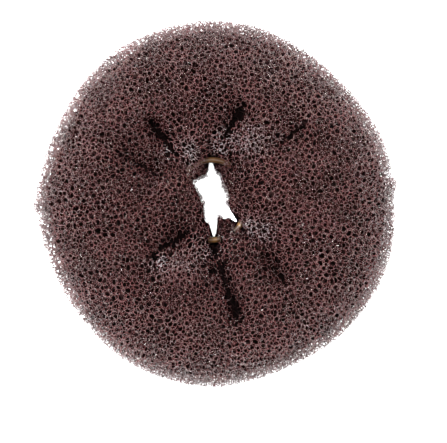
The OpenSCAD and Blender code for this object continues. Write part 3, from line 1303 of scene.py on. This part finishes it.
@dataclass(frozen=True)
class FoamCore:
    """The deeper foam of the sleeve, as one closed hollow body whose cells are bump and colour, painted
    near black as its shade.
    """

    wall: FoamWall = FoamWall()
    name: str = "foam_core"
    stations: int = 224
    turns: int = 84
    hollow_stations: int = 72
    hollow_turns: int = 24
    floor_gap: float = 0.4

    def add_face(self, parts: MeshParts, face: Face) -> Array:
        """Adds one face of the body: a grid of places that closes both ways round.

        Args:
            parts: Where the faces are gathered.
            face: Which face.

        Returns:
            (n, 2) the angles round the hole and round the section of its corners, degrees.
        """
        outer = face is Face.OUTER
        rows = self.stations if outer else self.hollow_stations
        columns = self.turns if outer else self.hollow_turns
        i, j = np.meshgrid(np.arange(rows), np.arange(columns), indexing="ij")
        angle, turn = i.ravel() * 360.0 / rows, j.ravel() * 360.0 / columns
        depth = self.wall.core_depth(angle, around_zero(turn))
        if not outer:
            depth = np.maximum(depth + self.wall.least_core, self.wall.ring.foam_thickness)
        points = self.wall.ring.place(angle, turn, depth)
        points[:, 2] = np.maximum(points[:, 2], self.floor_gap)
        first = parts.add_points(points)
        i2, j2 = (i + 1) % rows, (j + 1) % columns
        corners = [i * columns + j, i2 * columns + j, i2 * columns + j2, i * columns + j2]
        quads = first + np.stack([c.ravel() for c in corners], 1)
        parts.quads.append(quads[:, :: face.value])
        return np.stack([angle, turn], 1)

    def build(self, finish: CoreFinish) -> bpy.types.Object:
        """Builds the body and dresses it.

        Args:
            finish: The core's finish.

        Returns:
            The piece.
        """
        parts = MeshParts()
        turned = np.concatenate([self.add_face(parts, face) for face in Face])
        points = parts.all_points()
        mesh = parts.to_mesh(self.name)
        # the creases' painted shadows on the core's colour
        add_shade(mesh, self.wall.ring.shadows(points), turned[:, 0], turned[:, 1])
        return foam_piece(mesh, finish.material(self.name), parts)


@dataclass(frozen=True)
class ElasticBand:
    """The elastic that gathers the foam round the hole."""

    wall: FoamWall = FoamWall()
    name: str = "elastic"
    stations: int = 160
    sides: int = 20
    # range of foam cover, mm, over which the band's painted shade grows to full
    cover_depth: float = 1.4
    # angle, half width and strength of the shadow painted on the band at the ends of the hole
    end_shadows: tuple[tuple[float, ...], ...] = (
        (94, 45, 0.8), (128, 22, 0.85), (62, 20, 0.85), (268, 30, 0.85),
    )

    def build(self, finish: ElasticFinish) -> bpy.types.Object:
        """Builds the band and dresses it.

        A round profile is carried along the centreline. Its radius swells and shrinks a little on
        the way, as stretched rubber does.

        Args:
            finish: The band's finish.

        Returns:
            The band.
        """
        share = np.arange(self.stations) / self.stations
        shape = self.wall.band
        place, outwards = shape.centreline(share)
        turn = np.arange(self.sides) / self.sides * 2 * math.pi
        swell = 1 - 0.03 * (1 + np.sin(2 * math.pi * share * 9) * np.sin(2 * math.pi * share * 4))
        radius = shape.thickness / 2 * swell
        up = np.array([0.0, 0.0, 1.0])
        across = outwards[:, None] * np.cos(turn)[None, :, None] + up * np.sin(turn)[None, :, None]
        points = place[:, None] + across * radius[:, None, None]
        parts = MeshParts()
        parts.add_points(points)
        i, j = np.meshgrid(np.arange(self.stations), np.arange(self.sides), indexing="ij")
        i2, j2 = (i + 1) % self.stations, (j + 1) % self.sides
        quads = np.stack([i * self.sides + j, i2 * self.sides + j, i2 * self.sides + j2,
                          i * self.sides + j2], -1)
        parts.quads.append(quads.reshape(-1, 4))
        points = parts.all_points()
        mesh = parts.to_mesh(self.name)
        # painted shade of the band under the foam, in the creases' painted shadows and at the ends of
        # the hole
        cover_shade = rise((self.wall.ring.depths(points)["face"] + 1) / self.cover_depth)
        lit = (1 - cover_shade) * (1 - self.wall.ring.shadows(points))
        angle = self.wall.ring.depths(points)["angle"]
        for at, half, strength in self.end_shadows:
            lit = lit * (1 - strength * bell(around_zero(angle - at) / half))
        shade = 1 - lit
        add_shade(mesh, shade, np.repeat(share, self.sides), np.tile(turn, self.stations))
        piece = new_piece(mesh, finish.material(self.name))
        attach(piece, "root")
        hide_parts("elastic_band")
        log.info("%s: %d triangles", piece.name, parts.triangle_count())
        return piece


@dataclass
class ShaderGraph:
    """A material's or a group's nodes, with short ways to add and join them."""

    tree: bpy.types.NodeTree

    def add(self, kind: str, **settings: object) -> bpy.types.Node:
        """Adds a node.

        Args:
            kind: The node's type.
            settings: Its properties, and default values for inputs under their names.

        Returns:
            The node.
        """
        node = self.tree.nodes.new(kind)
        for name, value in settings.items():
            if name in node.bl_rna.properties:
                setattr(node, name, value)
            else:
                node.inputs[name.replace("_", " ").title()].default_value = value
        return node

    def join(self, source: bpy.types.NodeSocket, target: bpy.types.NodeSocket) -> None:
        """Joins an output to an input."""
        self.tree.links.new(source, target)

    def group(self, tree: bpy.types.NodeTree, **values: float) -> bpy.types.Node:
        """Adds a group with values for its inputs.

        Args:
            tree: The group's nodes.
            values: Values for its inputs under their names.

        Returns:
            The node.
        """
        node = self.tree.nodes.new("ShaderNodeGroup")
        node.node_tree = tree
        for name, value in values.items():
            node.inputs[name.title()].default_value = value
        return node


def map_range(
    graph: ShaderGraph, source: tuple[float, float], target: tuple[float, float],
    **settings: object,
) -> bpy.types.Node:
    """A node that carries one range of values over into another.

    Args:
        graph: The graph that gets it.
        source: Where the range starts and ends.
        target: What it becomes at its start and its end.
        settings: Settings of the node.

    Returns:
        The node.
    """
    node = graph.add("ShaderNodeMapRange", **settings)
    names = ("From Min", "From Max", "To Min", "To Max")
    for name, value in zip(names, (*source, *target)):
        node.inputs[name].default_value = value
    return node


def shaded(
    graph: ShaderGraph, tree: bpy.types.NodeTree, **colours: tuple[float, float, float]
) -> bpy.types.Node:
    """The group that colours a piece by its shade, with the piece's colours.

    Args:
        graph: The graph that gets it.
        tree: The group.
        colours: The colours by the names of the group's inputs in small letters.

    Returns:
        The group's node.
    """
    node = graph.group(tree)
    for name, value in colours.items():
        node.inputs[name.capitalize()].default_value = (*value, 1)
    return node


def new_group(
    name: str, inputs: tuple[tuple[str, str], ...], outputs: tuple[tuple[str, str], ...]
) -> tuple[ShaderGraph, bpy.types.Node, bpy.types.Node]:
    """A node group with its sockets.

    Args:
        name: The group's name.
        inputs: Name and socket type of each input.
        outputs: Name and socket type of each output.

    Returns:
        The group's graph, its input node and its output node.
    """
    tree = bpy.data.node_groups.new(name, "ShaderNodeTree")
    for in_out, sockets in (("INPUT", inputs), ("OUTPUT", outputs)):
        for label, kind in sockets:
            tree.interface.new_socket(label, in_out=in_out, socket_type=kind)
    graph = ShaderGraph(tree)
    return graph, graph.add("NodeGroupInput"), graph.add("NodeGroupOutput")


def grain_group() -> bpy.types.NodeTree:
    """Grain of a soft plastic: patches some way across, and a fine unevenness of the surface.

    The patches are a noise of the given size, the grain is a noise twenty times finer.

    Returns:
        The group, with the outputs Patches, Grain and Normal.
    """
    graph, given, out = new_group(
        "plastic_grain",
        (("Scale", "NodeSocketFloat"), ("Strength", "NodeSocketFloat")),
        (("Patches", "NodeSocketFloat"), ("Grain", "NodeSocketFloat"), ("Normal", "NodeSocketVector")),
    )
    place = graph.add("ShaderNodeTexCoord")
    patches = graph.add("ShaderNodeTexNoise", detail=2.0)
    finer = graph.add("ShaderNodeMath", operation="MULTIPLY")
    finer.inputs[1].default_value = 20.0
    grain = graph.add("ShaderNodeTexNoise", detail=1.0)
    bump = graph.add("ShaderNodeBump", distance=0.00005)
    graph.join(place.outputs["Object"], patches.inputs["Vector"])
    graph.join(place.outputs["Object"], grain.inputs["Vector"])
    graph.join(given.outputs["Scale"], patches.inputs["Scale"])
    graph.join(given.outputs["Scale"], finer.inputs[0])
    graph.join(finer.outputs[0], grain.inputs["Scale"])
    graph.join(given.outputs["Strength"], bump.inputs["Strength"])
    graph.join(grain.outputs["Fac"], bump.inputs["Height"])
    graph.join(patches.outputs["Fac"], out.inputs["Patches"])
    graph.join(grain.outputs["Fac"], out.inputs["Grain"])
    graph.join(bump.outputs["Normal"], out.inputs["Normal"])
    return graph.tree


def shade_group() -> bpy.types.NodeTree:
    """Colour of the foam by its painted shade: two colours in patches that darken with the shade.

    Where the shade is below 0 a painted gleam, a highlight, shows in specks of the grain.

    Returns:
        The group, with the outputs Color and Lit, which is 1 less the shade.
    """
    graph, given, out = new_group(
        "foam_shade",
        (
            ("Light", "NodeSocketColor"), ("Dark", "NodeSocketColor"),
            ("Deep", "NodeSocketColor"), ("Gleam", "NodeSocketColor"),
            ("Patches", "NodeSocketFloat"), ("Grain", "NodeSocketFloat"),
        ),
        (("Color", "NodeSocketColor"), ("Lit", "NodeSocketFloat")),
    )
    lit = graph.add("ShaderNodeMath", operation="SUBTRACT", use_clamp=True)
    lit.inputs[0].default_value = 1.0
    shade = graph.add("ShaderNodeAttribute", attribute_name="shade")
    share = map_range(graph, NOISE_RANGE, (0.0, 1.0), interpolation_type="SMOOTHSTEP")
    colours = graph.add("ShaderNodeMix", data_type="RGBA")
    deep = graph.add("ShaderNodeMix", data_type="RGBA")
    graph.join(given.outputs["Patches"], share.inputs["Value"])
    graph.join(share.outputs["Result"], colours.inputs["Factor"])
    graph.join(given.outputs["Light"], colours.inputs[6])
    graph.join(given.outputs["Dark"], colours.inputs[7])
    graph.join(shade.outputs["Fac"], deep.inputs["Factor"])
    graph.join(colours.outputs[2], deep.inputs[6])
    graph.join(given.outputs["Deep"], deep.inputs[7])
    gleam = graph.add("ShaderNodeMath", operation="MULTIPLY", use_clamp=True)
    gleam.inputs[1].default_value = -1.0
    specks = map_range(graph, SPECK_RANGE, (0.0, 1.0), interpolation_type="SMOOTHSTEP")
    gleaming = graph.add("ShaderNodeMath", operation="MULTIPLY")
    shown = graph.add("ShaderNodeMix", data_type="RGBA")
    graph.join(shade.outputs["Fac"], gleam.inputs[0])
    graph.join(given.outputs["Grain"], specks.inputs["Value"])
    graph.join(gleam.outputs[0], gleaming.inputs[0])
    graph.join(specks.outputs["Result"], gleaming.inputs[1])
    graph.join(gleaming.outputs[0], shown.inputs["Factor"])
    graph.join(deep.outputs[2], shown.inputs[6])
    graph.join(given.outputs["Gleam"], shown.inputs[7])
    graph.join(shown.outputs[2], out.inputs["Color"])
    graph.join(shade.outputs["Fac"], lit.inputs[1])
    graph.join(lit.outputs[0], out.inputs["Lit"])
    return graph.tree


@dataclass(frozen=True)
class SharedGroups:
    """The node groups that several finishes use."""

    grain: bpy.types.NodeTree
    shade: bpy.types.NodeTree

    @staticmethod
    def build() -> SharedGroups:
        """Makes the groups.

        Returns:
            The groups.
        """
        return SharedGroups(grain_group(), shade_group())


def new_material(name: str) -> tuple[bpy.types.Material, ShaderGraph, bpy.types.Node]:
    """A material with its graph and its shader.

    Args:
        name: The material's name.

    Returns:
        The material, its graph and its Principled shader.
    """
    material = bpy.data.materials.new(name)
    material.use_nodes = True
    graph = ShaderGraph(material.node_tree)
    return material, graph, material.node_tree.nodes["Principled BSDF"]


@dataclass(frozen=True)
class FoamFinish:
    """Maroon-brown foam mesh with slightly glossy struts."""

    groups: SharedGroups
    light: tuple[float, float, float] = (0.098, 0.031, 0.031)
    dark: tuple[float, float, float] = (0.056, 0.017, 0.017)
    # colour of the struts at full painted shade
    deep: tuple[float, float, float] = (0.018, 0.0045, 0.0045)
    # pale colour of the painted gleam, a painted highlight
    gleam: tuple[float, float, float] = (0.42, 0.41, 0.43)
    glossy: float = 0.16
    dull: float = 0.34
    gloss: float = 1.0
    shine: float = 0.25
    coat_ior: float = 1.8

    def material(self, name: str) -> bpy.types.Material:
        """Makes the material.

        Args:
            name: The material's name.

        Returns:
            The material.
        """
        material, graph, shader = new_material(name)
        shader.inputs["Specular IOR Level"].default_value = self.shine
        shader.inputs["Coat Roughness"].default_value = self.glossy
        shader.inputs["Coat IOR"].default_value = self.coat_ior
        grain = graph.group(self.groups.grain, scale=150.0, strength=0.35)
        colour = shaded(graph, self.groups.shade, light=self.light, dark=self.dark,
                        deep=self.deep, gleam=self.gleam)
        graph.join(grain.outputs["Grain"], colour.inputs["Grain"])
        rough = map_range(graph, NOISE_RANGE, (self.glossy, self.dull))
        # the coat fades with the painted shade, a painted shade on the gloss
        coat = graph.add("ShaderNodeMath", operation="MULTIPLY")
        coat.inputs[1].default_value = self.gloss
        graph.join(colour.outputs["Lit"], coat.inputs[0])
        graph.join(coat.outputs[0], shader.inputs["Coat Weight"])
        graph.join(grain.outputs["Patches"], colour.inputs["Patches"])
        graph.join(grain.outputs["Grain"], rough.inputs["Value"])
        graph.join(colour.outputs["Color"], shader.inputs["Base Color"])
        graph.join(rough.outputs["Result"], shader.inputs["Roughness"])
        graph.join(grain.outputs["Normal"], shader.inputs["Normal"])
        return material


@dataclass(frozen=True)
class CoreFinish:
    """The deeper foam, painted near black as its shade, with its cells as a pattern of struts round
    windows painted darker still as shade.
    """

    groups: SharedGroups
    # near-black colours: painted shade of the deep foam; window is the darker painted shade between its
    # struts
    light: tuple[float, float, float] = (0.012, 0.005, 0.005)
    dark: tuple[float, float, float] = (0.007, 0.003, 0.003)
    deep: tuple[float, float, float] = (0.002, 0.001, 0.001)
    window: tuple[float, float, float] = (0.001, 0.0005, 0.0005)
    cells: float = 420.0
    strut_width: float = 0.12

    def material(self, name: str) -> bpy.types.Material:
        """Makes the material.

        Args:
            name: The material's name.

        Returns:
            The material.
        """
        material, graph, shader = new_material(name)
        shader.inputs["Roughness"].default_value = 0.8
        shader.inputs["Specular IOR Level"].default_value = 0.0
        grain = graph.group(self.groups.grain, scale=150.0, strength=0.2)
        colour = shaded(graph, self.groups.shade, light=self.light, dark=self.dark,
                        deep=self.deep)
        place = graph.add("ShaderNodeTexCoord")
        cells = graph.add("ShaderNodeTexVoronoi", feature="DISTANCE_TO_EDGE", scale=self.cells)
        strut = map_range(graph, (0.0, self.strut_width), (1.0, 0.0),
                          interpolation_type="SMOOTHSTEP")
        mixed = graph.add("ShaderNodeMix", data_type="RGBA")
        mixed.inputs[6].default_value = (*self.window, 1)
        bump = graph.add("ShaderNodeBump", strength=0.8, distance=0.0004)
        graph.join(place.outputs["Object"], cells.inputs["Vector"])
        graph.join(cells.outputs["Distance"], strut.inputs["Value"])
        graph.join(grain.outputs["Patches"], colour.inputs["Patches"])
        graph.join(strut.outputs["Result"], mixed.inputs["Factor"])
        graph.join(colour.outputs["Color"], mixed.inputs[7])
        graph.join(mixed.outputs[2], shader.inputs["Base Color"])
        graph.join(strut.outputs["Result"], bump.inputs["Height"])
        graph.join(grain.outputs["Normal"], bump.inputs["Normal"])
        graph.join(bump.outputs["Normal"], shader.inputs["Normal"])
        return material


@dataclass(frozen=True)
class ElasticFinish:
    """Amber rubber with a satin surface and darker patches."""

    groups: SharedGroups
    light: tuple[float, float, float] = (0.36, 0.19, 0.05)
    dark: tuple[float, float, float] = (0.22, 0.105, 0.025)
    # colour of the band at full painted shade
    deep: tuple[float, float, float] = (0.02, 0.008, 0.002)
    smooth: float = 0.3
    worn: float = 0.5
    shine: float = 0.15

    def material(self, name: str) -> bpy.types.Material:
        """Makes the material.

        Args:
            name: The material's name.

        Returns:
            The material.
        """
        material, graph, shader = new_material(name)
        shader.inputs["Specular IOR Level"].default_value = self.shine
        grain = graph.group(self.groups.grain, scale=300.0, strength=0.5)
        colour = shaded(graph, self.groups.shade, light=self.light, dark=self.dark,
                        deep=self.deep)
        rough = map_range(graph, (0.0, 1.0), (self.smooth, self.worn))
        graph.join(grain.outputs["Patches"], colour.inputs["Patches"])
        graph.join(colour.outputs["Color"], shader.inputs["Base Color"])
        # the coat fades with the painted shade
        graph.join(colour.outputs["Lit"], shader.inputs["Coat Weight"])
        graph.join(grain.outputs["Grain"], rough.inputs["Value"])
        graph.join(rough.outputs["Result"], shader.inputs["Roughness"])
        graph.join(grain.outputs["Normal"], shader.inputs["Normal"])
        return material


@dataclass(frozen=True)
class Lamp:
    """A round soft lamp that points at the middle of the table: place and size in m, power in W."""

    name: str
    place: tuple[float, float, float]
    size: float
    power: float
    floor_only: bool = False


@dataclass(frozen=True)
class Studio:
    """The plain white table, the soft light and the camera above the ring."""

    image_width: int = 447
    image_height: int = 443
    pixel: float = 0.263 * MM
    middle_px_x: float = 215.0
    middle_px_y: float = 203.5
    pixel_height: float = 16.5 * MM
    camera_distance: float = 1.6
    lens: float = 300.0
    floor_size: float = 3.0
    room_light: float = 0.16
    lamps: tuple[Lamp, ...] = (
        Lamp("key", (-0.5, 0.5, 1.35), 0.3, 84.0),
        Lamp("fill", (0.55, -0.35, 1.4), 0.4, 34.0),
        Lamp("floor_light", (0.0, 0.0, 1.7), 0.12, 60.0, floor_only=True),
    )

    def build(self) -> None:
        """Builds the floor, the light and the camera."""
        self.build_floor()
        self.build_light()
        self.build_camera()

    def build_floor(self) -> None:
        """Lays a plain white floor under the ring."""
        half = self.floor_size / 2
        mesh = bpy.data.meshes.new("floor")
        mesh.from_pydata(
            [(-half, -half, 0), (half, -half, 0), (half, half, 0), (-half, half, 0)],
            [], [(0, 1, 2, 3)],
        )
        material = bpy.data.materials.new("floor")
        material.use_nodes = True
        shader = material.node_tree.nodes["Principled BSDF"]
        shader.inputs["Base Color"].default_value = (0.9, 0.9, 0.9, 1)
        shader.inputs["Roughness"].default_value = 0.9
        shader.inputs["Specular IOR Level"].default_value = 0.0
        new_piece(mesh, material)

    def build_light(self) -> None:
        """Hangs soft lights over the table and brightens the room."""
        for lamp in self.lamps:
            light = bpy.data.lights.new(lamp.name, "AREA")
            light.shape = "DISK"
            light.size = lamp.size
            light.energy = lamp.power
            hung = bpy.data.objects.new(lamp.name, light)
            hung.location = lamp.place
            hung.rotation_mode = "QUATERNION"
            hung.rotation_quaternion = Vector(-np.array(lamp.place)).to_track_quat("-Z", "Y")
            bpy.context.scene.collection.objects.link(hung)
            if lamp.floor_only:
                lit = bpy.data.collections.new("lit_floor")
                lit.objects.link(bpy.data.objects["floor"])
                hung.light_linking.receiver_collection = lit
        world = bpy.data.worlds.new("room")
        world.use_nodes = True
        background = world.node_tree.nodes["Background"]
        background.inputs["Color"].default_value = (1, 1, 1, 1)
        background.inputs["Strength"].default_value = self.room_light
        bpy.context.scene.world = world
        bpy.context.scene.view_settings.view_transform = "Standard"

    def build_camera(self) -> None:
        """Sets the camera straight above, with the ring where the photograph has it.

        The photograph's pixel size holds at the height of the ring's widest section.
        """
        camera = bpy.data.cameras.new("camera")
        camera.lens = self.lens
        width = self.image_width * self.pixel
        distance = self.camera_distance
        camera.sensor_width = self.lens * width / distance
        camera.clip_end = 10
        eye = bpy.data.objects.new("camera", camera)
        x = (self.image_width / 2 - self.middle_px_x) * self.pixel
        y = (self.middle_px_y - self.image_height / 2) * self.pixel
        eye.location = (x, y, self.pixel_height + distance)
        bpy.context.scene.collection.objects.link(eye)
        bpy.context.scene.camera = eye


def main() -> None:
    """Builds the ring's pieces and the studio in order."""
    Studio().build()
    groups = SharedGroups.build()
    FoamMesh().build(FoamFinish(groups))
    FoamCore().build(CoreFinish(groups))
    ElasticBand().build(ElasticFinish(groups))


if __name__ == "__main__":
    main()
